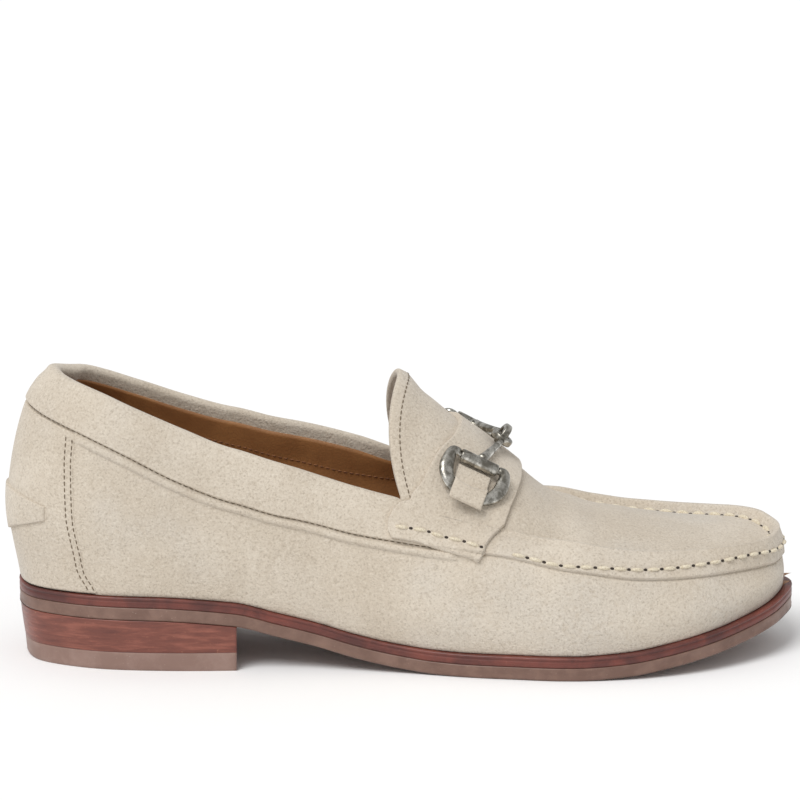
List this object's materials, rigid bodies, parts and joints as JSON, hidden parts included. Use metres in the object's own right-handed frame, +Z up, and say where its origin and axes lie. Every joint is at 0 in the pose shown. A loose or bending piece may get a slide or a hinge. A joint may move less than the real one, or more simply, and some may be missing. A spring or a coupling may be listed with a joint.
{
  "type": "slip-on loafer shoe",
  "caption": "Suede slip-on loafer with a moccasin apron, saddle strap and metal bit, on a leather-look sole with a stacked heel.",
  "frame": {"origin": "on the floor, under the middle of the shoe's box", "axes": "+X towards the toe, +Y towards the inner side of the right foot, +Z up"},
  "size_m": [0.2938, 0.1008, 0.108],
  "materials": {
    "suede": "napped suede",
    "bit_metal": "antique pewter, worn bright on the high spots",
    "stacked_leather": "stained and waxed, satin",
    "lining_leather": "smooth, satin",
    "sole_rubber": "smooth edge, satin",
    "heel_rubber": "matte",
    "welt_leather": "burnished, satin"
  },
  "bodies": {
    "root": {"back_tab": "suede", "bar_lateral": "bit_metal", "bar_medial": "bit_metal", "heel_block": "stacked_leather", "heel_counter": "suede", "insole": "lining_leather", "keeper_lateral": "suede", "keeper_medial": "suede", "outsole": "sole_rubber", "ring_lateral": "bit_metal", "ring_medial": "bit_metal", "saddle_strap": "suede", "top_lift": "heel_rubber", "upper": "suede", "welt": "welt_leather"}
  },
  "joints": []
}
